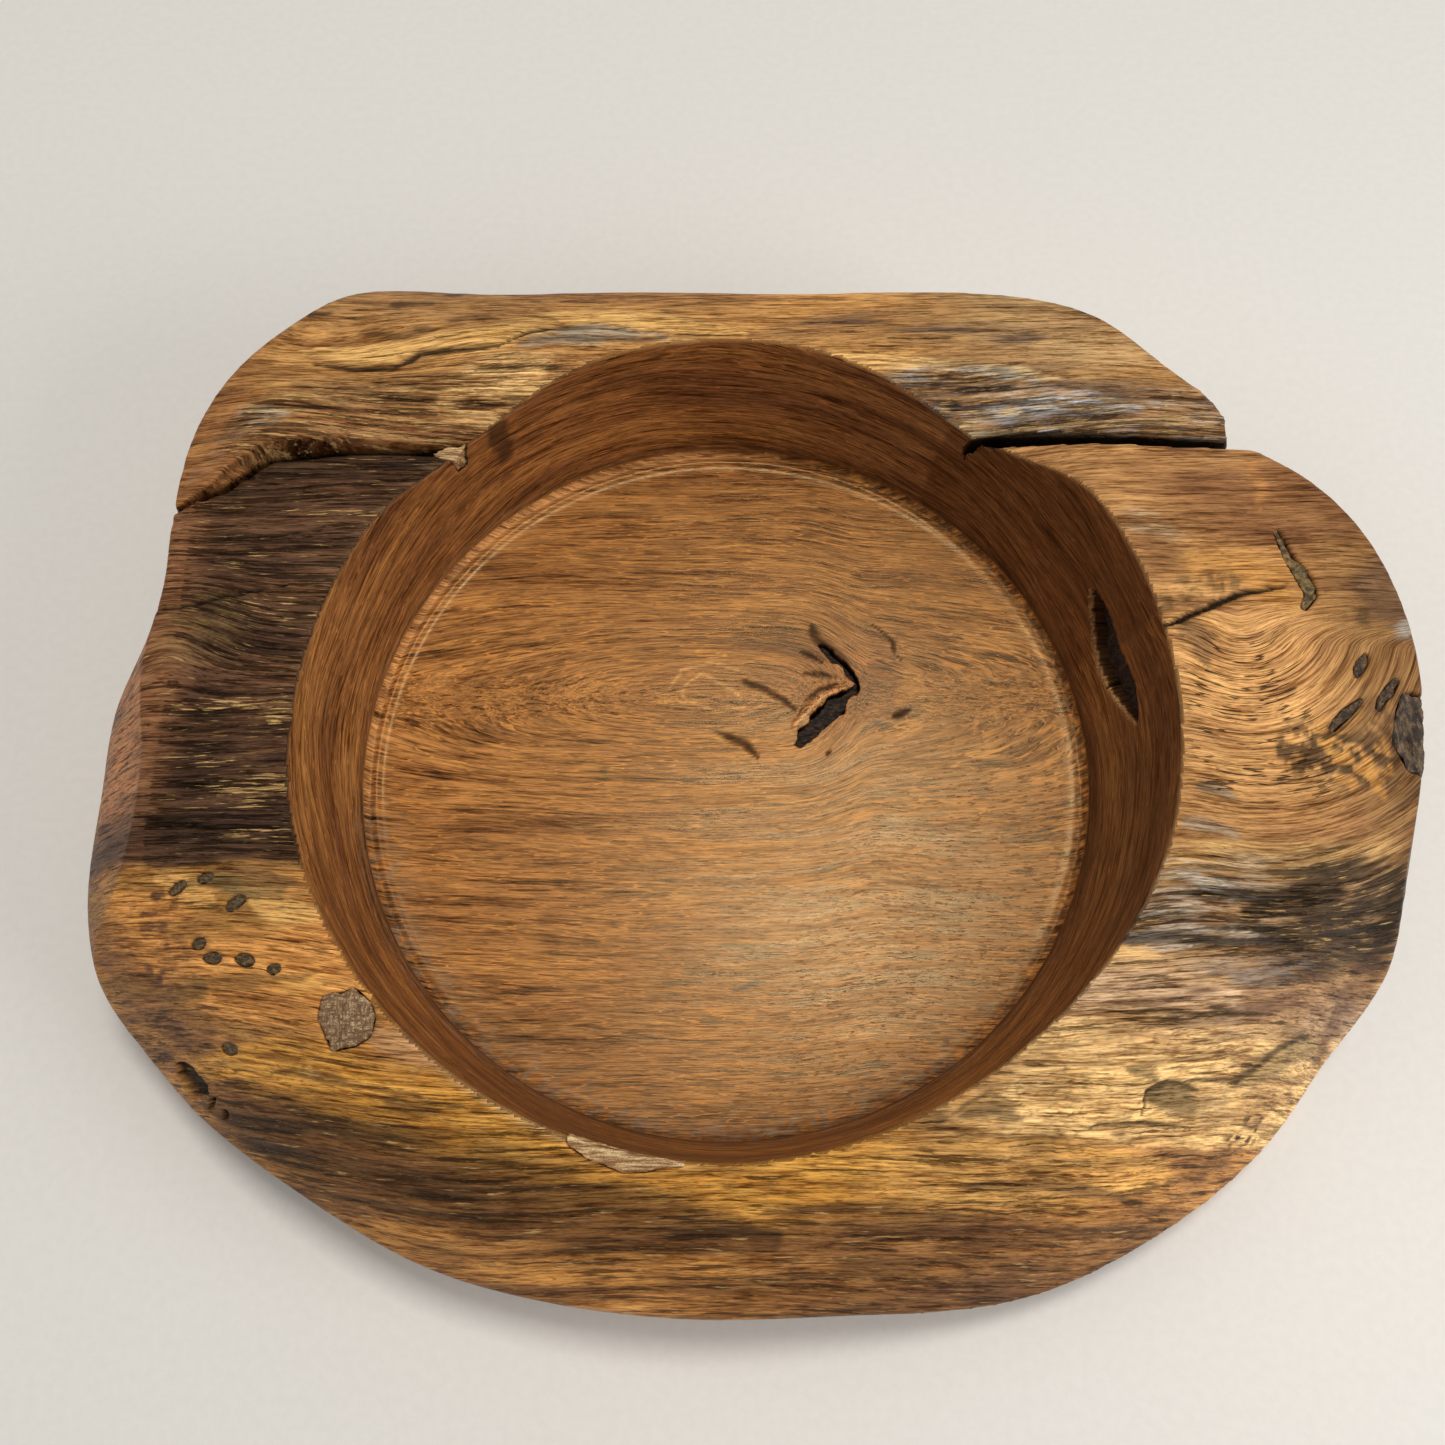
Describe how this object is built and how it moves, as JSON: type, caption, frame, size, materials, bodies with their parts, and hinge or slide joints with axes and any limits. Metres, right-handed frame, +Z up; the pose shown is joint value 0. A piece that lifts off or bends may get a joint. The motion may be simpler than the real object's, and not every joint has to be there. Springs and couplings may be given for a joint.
{
  "type": "carved wooden bowl",
  "caption": "Rough-edged wooden bowl from one block of root wood, with a smooth round recess, a split back ridge, bark pockets and knots in the rim.",
  "frame": {"origin": "where the axis of the round recess meets the flat underside", "axes": "+Z up out of the recess, +X along the grain and the back ridge, +Y towards the back ridge"},
  "size_m": [0.3168, 0.2538, 0.0662],
  "materials": {
    "root_wood": "oiled wood, satin, golden brown with dark weathered patches",
    "bark": "dry bark, matt, nearly black",
    "dead_knot": "dead knot wood, matt, dark",
    "grey_end_grain": "weathered end grain, grey, matt",
    "pale_splinter": "torn raw wood, matt, pale",
    "dried_gum": "dried gum, dull yellow-grey"
  },
  "bodies": {
    "root": {"bark_streak_1": "bark", "bark_streak_2": "bark", "bark_streak_3": "bark", "bowl_body": "root_wood", "branch_stub": "grey_end_grain", "crack_gum": "dried_gum", "edge_bark": "bark", "fissure_chip": "pale_splinter", "floor_knot_bark": "bark", "left_split_bark": "bark", "pin_knot_1": "dead_knot", "pin_knot_2": "dead_knot", "pin_knot_3": "dead_knot", "pin_knot_4": "dead_knot", "pin_knot_5": "dead_knot", "pin_knot_6": "dead_knot", "pin_knot_7": "dead_knot", "pin_knot_8": "dead_knot", "right_split_bark": "bark", "rim_splinter": "pale_splinter", "wall_pocket_bark": "bark"}
  },
  "joints": []
}
